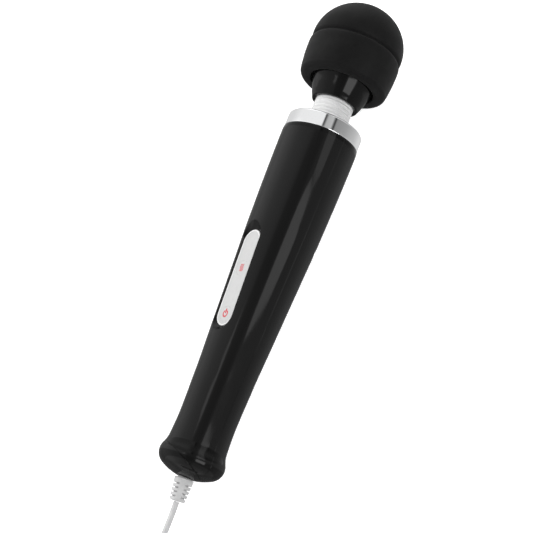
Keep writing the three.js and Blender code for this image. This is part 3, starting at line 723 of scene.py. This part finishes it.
KEY_PLACES = {"power": -23, "mode": 6}
KEY_RADIUS = 4.6
STEM_HOLE_RADIUS = 2.3
STRIP_HALF_WIDTH = 7.5
STRIP_END = 30.5
POCKET_GAP = 0.28
POCKET_FLOOR = -2.1
TUB_FLOOR = -3.7
TUB_GROWTH = (2.3, 3, 3)  # at the sides and at the two ends
SCOOP = [  # (height, further out at the sides, at the tail's end, at the head's end)
    (-0.3, 0.4, 0.5, 0.6), (0, 0.46, 1, 1.2), (1, 0.8, 2, 2.8), (2, 1.3, 3, 4.3), (3.2, 2, 4, 5.8),
    (5, 3, 5.4, 7.6),
]
SHELL_SCREWS = [(0, 60), (13, 152.2), (-13, 152.2)]
SCREW_SEAT = -7
BOSS_RADIUS = 4.1
BORE = [(0, -30), (2.9, -30), (2.9, SCREW_SEAT), (1.4, SCREW_SEAT), (1.4, 1), (0, 1)]
BLACK = "gloss_black_plastic"


def stadium(height, side=0.0, tail=0.0, head=0.0, steps=40):
    """The strip's outline in its own frame, grown by these amounts."""
    half_width = STRIP_HALF_WIDTH + side
    ring = []
    for centre, first in ((STRIP_END + head - half_width, 0), (half_width - STRIP_END - tail, math.pi)):
        for a in line(first, first + math.pi, steps) + [first + math.pi]:
            x, y = polar(half_width, a)
            ring.append((x, centre + y, height))
    return ring


def at_key(place):
    return STRIP @ Matrix.Translation((0, place, 0))


def across(x, z):
    """A frame whose Z runs along the wand's Y, at one of the shell screws."""
    return WAND @ Matrix.Translation((x, 0, z)) @ rotation(-90, "X")


def make_casing():
    inset = WALL / 2
    within = [(p.x - inset, p.y) for p in HANDLE.points if 20 < p.y < 210]
    core = build("core", revolve([(0, within[0][1]), *within, (0, within[-1][1])], 96), WAND, BLACK)

    def inside_only(made):
        boolean(made, add_object("core_copy", core.data.copy()), "INTERSECT")
        return made

    front = build("front_shell_skin", shell_solid(0, math.pi, 1), WAND, BLACK)
    tub = build("tub", loft([stadium(h, *TUB_GROWTH, 24) for h in (TUB_FLOOR, 8)]), STRIP, BLACK)
    boolean(front, inside_only(tub), "UNION")
    pocket = [stadium(h, POCKET_GAP, POCKET_GAP, POCKET_GAP, 24) for h in (POCKET_FLOOR, 6)]
    boolean(front, build("pocket", loft(pocket), STRIP, BLACK))
    boolean(front, build("scoop", loft([stadium(*row, 32) for row in SCOOP]), STRIP, BLACK))
    for place in KEY_PLACES.values():
        hole = cylinder(STEM_HOLE_RADIUS, TUB_FLOOR - 1, POCKET_FLOOR + 1)
        boolean(front, build("stem_hole", hole, at_key(place), BLACK))

    rear = build("rear_shell_skin", shell_solid(math.pi, FULL_TURN, -1), WAND, BLACK)
    for x, z in SHELL_SCREWS:
        boss = build("boss", cylinder(BOSS_RADIUS, -23, -2), across(x, z), BLACK)
        boolean(rear, inside_only(boss), "UNION")
        boolean(rear, build("bore", revolve(BORE, 40), across(x, z), BLACK))
    bpy.data.objects.remove(core)

    cap = build("tail_cap_skin", cap_solid(), WAND, BLACK)
    for made, node in ((front, "front_shell"), (rear, "rear_shell"), (cap, "tail_cap")):
        shade(made, 28)
        settle(made, BLACK, node)
    return front, rear, cap


HEAD_RADIUS, HEAD_HEIGHT = 2.6, 1.8
SHANK_RADIUS, SHANK_LENGTH = 1.1, 14.8
THREAD_PITCH, THREAD_DEPTH = 1.1, 0.25
RECESS_HALVES = (HEAD_RADIUS * 0.56, HEAD_RADIUS * 0.15)  # half the length and width of each arm of the cross


def make_screw(name, matrix, node):
    """A pan head screw with a cross recess, its shank down -Z."""
    outline = [(0, -SHANK_LENGTH), (SHANK_RADIUS * 0.5, -SHANK_LENGTH)]
    height = SHANK_RADIUS - SHANK_LENGTH
    while height < -THREAD_PITCH:
        outline += [(SHANK_RADIUS, height), (SHANK_RADIUS - THREAD_DEPTH, height + THREAD_PITCH / 2)]
        height += THREAD_PITCH
    crown = arc((HEAD_RADIUS * 0.55, HEAD_HEIGHT * 0.35), (HEAD_RADIUS * 0.45, HEAD_HEIGHT * 0.65), 0, 90, 6)
    outline += [(SHANK_RADIUS, -0.2), (SHANK_RADIUS, 0), (HEAD_RADIUS, 0), *crown, (0, HEAD_HEIGHT)]
    made = build(name, revolve(outline, 40), matrix, "steel")
    for x, y in (RECESS_HALVES, RECESS_HALVES[::-1]):
        rings = [[(sx * x * k, sy * y * k, h) for sx, sy in SQUARE]
                 for h, k in ((HEAD_HEIGHT * 0.4, 0.7), (HEAD_HEIGHT + 1, 1.05))]
        boolean(made, build("recess", loft(rings), matrix, "steel"))
    sharpen(made, 40)
    settle(made, "steel", node)


def make_screws():
    for i, (x, z) in enumerate(SHELL_SCREWS):
        turn = rotation(180, "X") @ Matrix.Rotation(0.4 + i, 4, "Z")
        place = across(x, z) @ Matrix.Translation((0, 0, SCREW_SEAT - GAP)) @ turn
        make_screw(f"casing_screw_{i + 1}", place, f"shell_screw_{i + 1}")


# -------- control strip, keys and marks

FILM_BASE = -0.1
FILM_TOP = -0.04
MARK_LOW, MARK_HIGH = FILM_TOP - 0.02, FILM_TOP + 0.03
STRIP_RIM = [  # (inwards from the strip's outline, height)
    (0.12, -1.8), (0, -1.65), (0, -0.3), (0.06, -0.12), (0.16, -0.03), (0.3, 0), (0.62, 0), (0.78, -0.03),
    (0.88, FILM_BASE),
]
FILM_RIM = [(1, FILM_BASE - 0.1), (1, FILM_BASE + 0.04), (1.03, FILM_TOP)]


def make_strip():
    def panel(name, rim, finish, sharp):
        rings = [stadium(h, -inset, -inset, -inset) for inset, h in rim]
        return build(name, loft(rings), STRIP, finish, sharp)

    strip = panel("strip_panel", STRIP_RIM, "white_plastic", 50)
    film = panel("strip_film", FILM_RIM, "white_film", 15)
    for place in KEY_PLACES.values():
        for made, sharp in ((strip, 30), (film, 15)):
            hole = cylinder(KEY_RADIUS + 0.06, -3, 2, 80)
            boolean(made, build("key_hole", hole, at_key(place), "white_plastic"))
            sharpen(made, sharp)
    settle(strip, "white_plastic", "control_strip")
    settle(film, "white_plastic")

    bottom = TUB_FLOOR - 0.5
    cap = [(0, bottom), (1.65, bottom), (1.8, bottom + 0.15), (1.8, -1.4), (KEY_RADIUS - 0.1, -1.4),
           (KEY_RADIUS, -1.3), (KEY_RADIUS, FILM_TOP - 0.05), (KEY_RADIUS - 0.05, FILM_TOP), (0, FILM_TOP)]
    for name, place in KEY_PLACES.items():
        key = build(f"{name}_key_cap", revolve(cap, 80), at_key(place), "white_film", 15)
        settle(key, "white_plastic", f"{name}_button", body=f"{name}_key")
    make_marks()


def ribbon(points, width):
    """A thin raised stroke along a line of (x, y) points, with round ends."""
    points = [Vector(p) for p in points]
    sides = []
    for i, point in enumerate(points):
        along = (points[min(i + 1, len(points) - 1)] - points[max(i - 1, 0)]).normalized()
        sides.append(Vector((-along.y, along.x)) * width / 2)
    outline = [p + s for p, s in zip(points, sides)]
    end_turns = [math.pi * k / 6 for k in range(1, 6)]
    outline += [points[-1] + Matrix.Rotation(-t, 2) @ sides[-1] for t in end_turns]
    outline += [p - s for p, s in zip(points[::-1], sides[::-1])]
    outline += [points[0] + Matrix.Rotation(-t, 2) @ -sides[0] for t in end_turns]
    return loft([[(p.x, p.y, h) for p in outline] for h in (MARK_LOW, MARK_HIGH)])


def make_marks():
    """A power sign on one key and three wavy strokes on the other."""
    start, stop = math.radians(90 + 38), math.radians(450 - 38)
    ring = [polar(1.9, a) for a in line(start, stop, 48) + [stop]]
    marks = [("power", "power_mark", ring, 0.9), ("power", "power_bar", [(0, 0.5), (0, 1.5), (0, 2.7)], 0.95)]
    for i in (-1, 0, 1):
        wave = [(i * 1.15 + 0.3 * math.sin(t * FULL_TURN), -2.1 + 4.2 * t) for t in line(0, 1, 24) + [1]]
        marks.append(("mode", f"wave_mark_{i + 2}", wave, 0.6))
    for key, name, points, width in marks:
        made = build(name, ribbon(points, width), at_key(KEY_PLACES[key]), "red_print", 40)
        settle(made, "white_plastic", body=f"{key}_key")


# -------- collar, neck and head

SLEEVE_RADIUS = 12.3
SLEEVE_BORE = 10.3
SLEEVE_SPLIT = 237.8
SLEEVE_FLANGE = [(15.5, 225.3), (15.5, 227.9), (12, 227.9)]
RIB_PITCH = 2.3
RIB_DEPTH = 0.48
LOWER_BEND = (("handle", "neck"), 230.4, 237.2)  # the bodies, and where between them the neck bends
UPPER_BEND = (("neck", "head"), 238.4, 245.2)


def make_collar():
    edge = arc((22.35, 228.9), (1.5, 1.5), 0, 90, 14)
    outline = [(22, 220.6), (23.74, 220.6), (23.82, 220.64), (23.85, 220.74), (23.85, 220.86), (23.85, 222),
               *edge, (13.1, 230.4), (12.85, 230.2), (12.8, 228.4), (22, 228.4)]
    collar = build("collar_metal", revolve(outline, FACETS), WAND, "chrome", 40)
    settle(collar, "chrome", "collar_ring")


def rib_radius(height):
    if height < 230.9 or height > 250:
        return SLEEVE_RADIUS
    wave = math.cos(FULL_TURN * (height - SLEEVE_SPLIT) / RIB_PITCH)
    return SLEEVE_RADIUS - RIB_DEPTH * (1 + wave) / 2


def bend_with(made, node):
    """Puts one half's placement into its mesh, and hides the CAD node it stands in for."""
    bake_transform(made)
    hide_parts(node)


def make_sleeve_half(name, bottom, top, flange):
    heights = line(bottom, top, int((top - bottom) / 0.15)) + [top]
    outer = flange + [(rib_radius(h), h) for h in heights]
    inner = [(SLEEVE_BORE, h) for h in line(top, bottom, 24) + [flange[0][1] if flange else bottom]]
    # The sleeve takes the lighter copy of the white rubber, painted light for the neck's shade.
    half = build(name, revolve([*outer, *inner], 160), WAND, "sleeve_rubber_painted_light", 50)
    bend_with(half, "neck_sleeve")


def make_spring_halves(node, mean_radius, wire_radius, bottom, top, turns):
    steps = 32
    count = turns * steps
    helix = []
    for i in range(count + 1):
        helix.append((*polar(mean_radius, i / steps * FULL_TURN), bottom + (top - bottom) * i / count))
    split = next(i for i, p in enumerate(helix) if p[2] > SLEEVE_SPLIT)
    for end, points, bend in (("lower", helix[:split + 1], LOWER_BEND), ("upper", helix[split:], UPPER_BEND)):
        half = build(f"{node}_{end}", sweep(points, wire_radius), WAND, "steel", 60)
        bend_with(half, node)


def make_neck():
    make_sleeve_half("neck_sleeve_lower", 228.2, SLEEVE_SPLIT, SLEEVE_FLANGE)
    make_sleeve_half("neck_sleeve_upper", SLEEVE_SPLIT, 250.6, [])
    make_spring_halves("neck_spring", 8.5, 0.8, 219.2, 254.8, 6)
    make_spring_halves("drive_spring", 2.9, 0.5, 219, 254, 7)


CONE_SIDE = [(14.9, 246.2), (15.5, 247.7), (16.3, 249.6), (17.6, 253.3), (18.8, 257.2), (19.9, 260)]
CONE_INSIDE = [
    (20.2, 260.5), (26.5, 260.6), (26.5, 263), (24.2, 263), (24.2, 266), (22.6, 266), (22.6, 263.5),
    (8.6, 263.5), (8.6, 266), (6.3, 266), (6.3, 259.5), (3.6, 259.5), (3.6, 256.2), (9.7, 256.2),
    (9.7, 251.1), (12.7, 251.1),
]
COVER_SIDE = [(28.25, 261.9), (28.6, 263.7), (29.0, 267), (29.5, 272), (29.75, 278.5)]
COVER_GROOVE = [
    (29.75, 278.5), (29.68, 280.6), (29.5, 281.7), (28.95, 282.6), (28.4, 283.1), (28.1, 283.6),
    (28.25, 284.1), (28.8, 284.7), (29.25, 285.6), (29.4, 287),
]
COVER_LIP = [(26.9, 287), (26.9, 260.3), (20.8, 260.3), (20.8, 259.1), (20.95, 258.75), (21.4, 258.5),
             (24.9, 258.5)]
DOME_CENTRE = (0, 287)


def make_head():
    edge = arc((14.25, 246.46), (0.7, 0.7), -80, -24, 6)
    outline = [(12.75, 245.9), (12.9, 245.76), (14.2, 245.76), *edge, *smooth(CONE_SIDE, 8), *CONE_INSIDE]
    base = build("head_cone", revolve(outline, FACETS), WAND, BLACK, 45)
    settle(base, BLACK, "head_base", body="head")

    inner = arc(DOME_CENTRE, (26.9, 25.4), 90, 0, 30)[:-1]
    edge = arc((24.8, 261.95), (3.45, 3.45), -88, -2, 12)
    dome = arc(DOME_CENTRE, (29.4, 27.8), 0, 90, 60)
    outline = [*inner, *COVER_LIP, *edge, *smooth(COVER_SIDE, 8)[1:-1], *smooth(COVER_GROOVE, 5)[:-1], *dome]
    cover = build("head_silicone", revolve(outline, FACETS), WAND, "matte_silicone", 45)
    settle(cover, "matte_silicone", "head_cover", body="head")


# -------- strain relief, leads and the rest of the CAD

RELIEF_TIP = -13.4
RELIEF_OUTLINE = [
    (2.05, RELIEF_TIP + 0.3), (2.3, RELIEF_TIP), (3.9, RELIEF_TIP), (4.35, RELIEF_TIP + 0.2),
    (4.65, RELIEF_TIP + 0.7), (4.85, RELIEF_TIP + 1.4), (5.65, -0.9), (5.7, -0.5), (5.5, -0.3), (4.1, -0.3),
    (4.1, 4.6), (6.4, 4.6), (6.4, 6.4), (2.05, 6.4),
]
RELIEF_SLOTS = 4
RELIEF_WEB = 1.7  # half the width of the solid web between the slots of the two sides
RELIEF_CORE = 3.6  # radius that the slots leave round the cord
SLOT_SIZE = (6.3, 16, 0.85)
SUPPLY_ROUTE = [
    (-0.39, -0.55, -12.9), (-0.2, -0.28, -6.5), (0, 0, 0), (0, 0, 12), (0, 0, 20), (2, 0, 30), (7, 0, 45),
    (8.5, 0, 60), (5, 3, 75), (1, 5.5, 84),
]
MOTOR_LEAD = [(3, 6.5, 146.2), (3.6, 3.5, 149), (5, 1, 152.5), (6, 0, 156.2)]  # the black one mirrors it


def make_relief():
    matrix = WAND @ rotation(55, "Z") @ rotation(3, "Y")
    relief = build("relief_sleeve", revolve(RELIEF_OUTLINE, 64), matrix, "white_rubber")
    slots = bmesh.new()
    for i in range(RELIEF_SLOTS):
        for side in (-1, 1):
            box = bmesh.ops.create_cube(slots, size=1)["verts"]
            bmesh.ops.scale(slots, vec=SLOT_SIZE, verts=box)
            place = (side * (RELIEF_WEB + SLOT_SIZE[0] / 2), 0, -3.8 - i * 2.45)
            bmesh.ops.translate(slots, vec=place, verts=box)
    cutter = build("slots", slots, matrix, "white_rubber")
    boolean(cutter, build("core", cylinder(RELIEF_CORE, RELIEF_TIP - 1, 0, 64), matrix, "white_rubber"))
    boolean(relief, cutter)
    bevel_edges(relief, 0.14, 2, 50)
    sharpen(relief, 60)
    settle(relief, "white_rubber", "strain_relief")


def make_leads():
    mirrored = [(-x, y, z) for x, y, z in MOTOR_LEAD]
    for name, route, radius, finish in (
        ("supply_lead", SUPPLY_ROUTE, CORD_RADIUS, "white_cord"),
        ("motor_lead_red", MOTOR_LEAD, 0.7, "red_wire"),
        ("motor_lead_black", mirrored, 0.7, "black_rubber"),
    ):
        lead = build(f"{name}_wire", sweep(smooth_route(route, 8), radius, 16), WAND, finish, 60)
        settle(lead, finish, name)


CARRIED = {
    "steel": "motor_can motor_shaft head_shaft head_bearing_lower head_bearing_upper head_screw_1 "
             "head_screw_2 head_screw_3 board_screw_1 board_screw_2",
    "brass": "motor_bearing motor_rotor commutator eccentric_weight",
    "circuit_board": "circuit_board",
    "grey_plastic": "motor_rear_cap motor_magnet_left motor_magnet_right neck_flange head_shell power_switch "
                    "mode_switch capacitor cord_clamp",
    "black_rubber": "power_plunger mode_plunger driver_chip motor_cushion_front motor_cushion_rear",
}


def finish_carried_nodes():
    """Gives the inner pieces that keep their CAD shape their finishes."""
    for finish, names in CARRIED.items():
        for name in names.split():
            materials = bpy.data.objects[name].data.materials
            materials.clear()
            materials.append(MATERIALS[finish])


# -------- floor and backdrop

WHITE = (1, 1, 1, 1)
FLOOR_HALF = 6
BACKDROP_RADIUS = 8


def show_only_to(target, ray):
    """Hides a stage piece from every kind of ray but one."""
    for kind in ("camera", "diffuse", "glossy", "transmission", "shadow"):
        setattr(target, f"visible_{kind}", kind == ray)


def add_stage(name, mesh, finish):
    mesh.materials.append(finish)
    made = add_object(name, mesh)
    return made


def make_floor():
    finish = material("floor", grey(0.9), 0.9, shades=(grey(0.89), grey(0.91), 6, 3), Emission_Strength=0.6,
                      Emission_Color=WHITE, Specular_IOR_Level=0)
    mesh = bpy.data.meshes.new("floor")
    corners = [(x * FLOOR_HALF, y * FLOOR_HALF, 0) for x, y in SQUARE]
    mesh.from_pydata(corners, [], [(0, 1, 2, 3)])
    add_stage("floor", mesh, finish).visible_glossy = False


def make_backdrop():
    """A plain white dome that only the camera sees."""
    finish = material("backdrop", grey(0), 1, Emission_Strength=1.2, Emission_Color=WHITE)
    work = bmesh.new()
    bmesh.ops.create_uvsphere(work, u_segments=48, v_segments=24, radius=BACKDROP_RADIUS)
    mesh = bpy.data.meshes.new("backdrop")
    work.to_mesh(mesh)
    work.free()
    show_only_to(add_stage("backdrop", mesh, finish), "camera")


# -------- the studio, seen in the glossy pieces

ROUND_THE_WAND = [  # degrees round the wand's axis from the camera towards +X, and the brightness there
    (-180, 0.2), (-144, 0.4), (-131, 0.6), (-116, 1.15), (-104, 1.45), (-92, 1.65), (-84, 1.7), (-70, 1.5),
    (-58, 1.4), (-42, 1.3), (-30, 1.1), (-21, 0.6), (-4, 0.5), (4, 0.55), (10, 0.8), (50, 0.85), (93, 0.8),
    (116, 0.64), (131, 0.41), (144, 0.27), (180, 0.2),
]
ROUND_THE_COLLAR = [  # the same, for the directions that only the collar and the head reflect
    (-180, 0.7), (-120, 0.8), (-90, 0.95), (-13.5, 0.97), (-10.5, 0.04), (-7, 0.15), (-2, 0.5), (14, 0.56),
    (19, 0.12), (22, 0.04), (27, 0.3), (60, 0.38), (100, 0.55), (130, 0.75), (180, 0.7),
]
BRIGHTEST = 2
# a slope is how steeply a direction rises towards the head; in each pair an effect starts and is complete
COLLAR_SLOPES = ((0.366, 0.38), (1.1, 0.6))
TAILWARD_SLOPES = (-1, -2.2)
TAILWARD = 1.1  # the brightness straight past the tail
CONE_SHADE_SLOPES = ((-0.7, -0.6), (0.03, -0.01))
CONE_SHADE = 0.4
CONE_BOX_SLOPES = ((-0.36, -0.33), (0.02, -0.02))
CONE_BOX_TURNS = ((10, 13), (46, 43))  # degrees round the axis
CONE_BOX = 4.5  # how much brighter the box of light is that the head's cone reflects


def make_world():
    """A sky painted by the turn round the wand's axis and the slope along it."""
    world = bpy.data.worlds.new("studio")
    bpy.context.scene.world = world
    world.use_nodes = True
    tree = world.node_tree
    direction = add_node(tree, "TexCoord", {}).outputs["Generated"]

    def share(vector):
        inputs = {0: direction, 1: vector}
        return add_node(tree, "VectorMath", inputs, operation="DOT_PRODUCT").outputs["Value"]

    def calculate(operation, *values):
        return add_node(tree, "Math", dict(enumerate(values)), operation=operation).outputs["Value"]

    def step(value, low, high):
        """From 0 at low to 1 at high, smoothly."""
        inputs = {"Value": value, "From Min": low, "From Max": high}
        return add_node(tree, "MapRange", inputs, interpolation_type="SMOOTHSTEP").outputs["Result"]

    def between(value, start, stop):
        return calculate("MULTIPLY", step(value, *start), step(value, *stop))

    across, towards, along = share(VIEW_RIGHT), share(VIEW_SQUARE), share(AXIS)
    turn = calculate("ARCTAN2", across, towards)
    place = add_node(tree, "MapRange", {"Value": turn, "From Min": -math.pi, "From Max": math.pi})
    sideways = calculate("SQRT", calculate("SUBTRACT", 1, calculate("MULTIPLY", along, along)))
    slope = calculate("DIVIDE", along, sideways)

    def ramp_of(stops):
        ramp = add_node(tree, "ValToRGB", {"Fac": place.outputs["Result"]})
        elements = ramp.color_ramp.elements
        while len(elements) < len(stops):
            elements.new(0.5)
        for element, (degrees, value) in zip(elements, stops):
            element.position = (degrees + 180) / 360
            element.color = (*grey(value / BRIGHTEST), 1)
        return ramp.outputs["Color"]

    shade_share = calculate("MULTIPLY", between(slope, *CONE_SHADE_SLOPES), CONE_SHADE)
    sky = mix(tree, shade_share, ramp_of(ROUND_THE_WAND), (0, 0, 0, 1))
    sky = mix(tree, between(slope, *COLLAR_SLOPES), sky, ramp_of(ROUND_THE_COLLAR))
    sky = mix(tree, step(slope, *TAILWARD_SLOPES), sky, (*grey(TAILWARD / BRIGHTEST), 1))
    wide = between(turn, *[[math.radians(a) for a in pair] for pair in CONE_BOX_TURNS])
    box = calculate("MULTIPLY", wide, between(slope, *CONE_BOX_SLOPES))
    box = calculate("MULTIPLY", box, CONE_BOX / BRIGHTEST)
    lit = add_node(tree, "VectorMath", {0: sky, 1: box}, operation="ADD").outputs["Vector"]
    background = tree.nodes["Background"]
    tree.links.new(lit, background.inputs["Color"])
    background.inputs["Strength"].default_value = BRIGHTEST


CARD_HEIGHT = 776  # of the light cards above the wand's axis, in mm
LONG_CARD = [  # (place along the axis, turn from the camera to its left side, turn to its right side)
    (150, 12, 16), (185, 10, 26), (235, 9.5, 39), (300, 9.5, 42), (350, 10, 41), (385, 13, 36), (410, 17, 30),
]
SHORT_CARD = [(50, -40, -30), (110, -38, -27.5), (150, -33, -28), (190, -31.5, -29)]
FLARE_CARD = [(425, 18, 31), (480, 14, 38), (1900, 14, 38)]  # shows in the flare of the casing's tail
LONG_BRIGHTNESS, SHORT_BRIGHTNESS, FLARE_BRIGHTNESS = 2.4, 1.8, 1.44
SOFT_LIGHT_PLACE = Vector((-1.1, 0.5, 0.75))  # in metres
SOFT_LIGHT_SIZE = 0.9
SOFT_LIGHT_POWER = 9


def make_card(name, outline, brightness):
    """A light card over the wand that only shows as a highlight in glossy surfaces."""
    finish = bpy.data.materials.new(name)
    finish.use_nodes = True
    tree = finish.node_tree
    tree.nodes.clear()
    glow = add_node(tree, "Emission", {"Strength": brightness}).outputs[0]
    clear = add_node(tree, "BsdfTransparent", {}).outputs[0]
    add_node(tree, "OutputMaterial", {"Surface": add_node(tree, "AddShader", {0: glow, 1: clear}).outputs[0]})
    verts = []
    for place, *turns in outline:
        for turn in turns:
            away = VIEW_SQUARE + VIEW_RIGHT * math.tan(math.radians(turn))
            verts.append(on_axis(place) + away * CARD_HEIGHT * MM)
    faces = [(i, i + 1, i + 3, i + 2) for i in range(0, len(verts) - 2, 2)]
    mesh = bpy.data.meshes.new(name)
    mesh.from_pydata(verts, [], faces)
    card = add_stage(name, mesh, finish)
    show_only_to(card, "glossy")
    return card


def light_only(card, pieces):
    """Lets a light card show in only some pieces."""
    lit = bpy.data.collections.new(f"lit_by_{card.name}")
    for piece in pieces:
        lit.objects.link(piece)
    card.light_linking.receiver_collection = lit


def make_soft_light():
    """A large soft light from the strip's side, which shades the matt pieces and shows in no reflection."""
    lamp = bpy.data.lights.new("soft_light", "AREA")
    lamp.shape = "DISK"
    lamp.size = SOFT_LIGHT_SIZE
    lamp.energy = SOFT_LIGHT_POWER
    light = add_object("soft_light", lamp)
    turn = SOFT_LIGHT_PLACE.to_track_quat("Z", "Y").to_matrix().to_4x4()
    light.matrix_world = Matrix.Translation(SOFT_LIGHT_PLACE) @ turn
    light.visible_glossy = False


bpy.context.scene.view_settings.view_transform = "Standard"
make_camera()
make_materials()
cord, cord_start = make_cord()
tie = make_tie()
adapter_pieces = make_adapter()
casing = make_casing()
make_screws()
make_strip()
make_collar()
make_neck()
make_head()
make_relief()
make_leads()
finish_carried_nodes()
make_floor()
make_backdrop()
make_world()
make_card("long_card", LONG_CARD, LONG_BRIGHTNESS)
make_card("short_card", SHORT_CARD, SHORT_BRIGHTNESS)
light_only(make_card("flare_card", FLARE_CARD, FLARE_BRIGHTNESS), casing)
make_soft_light()
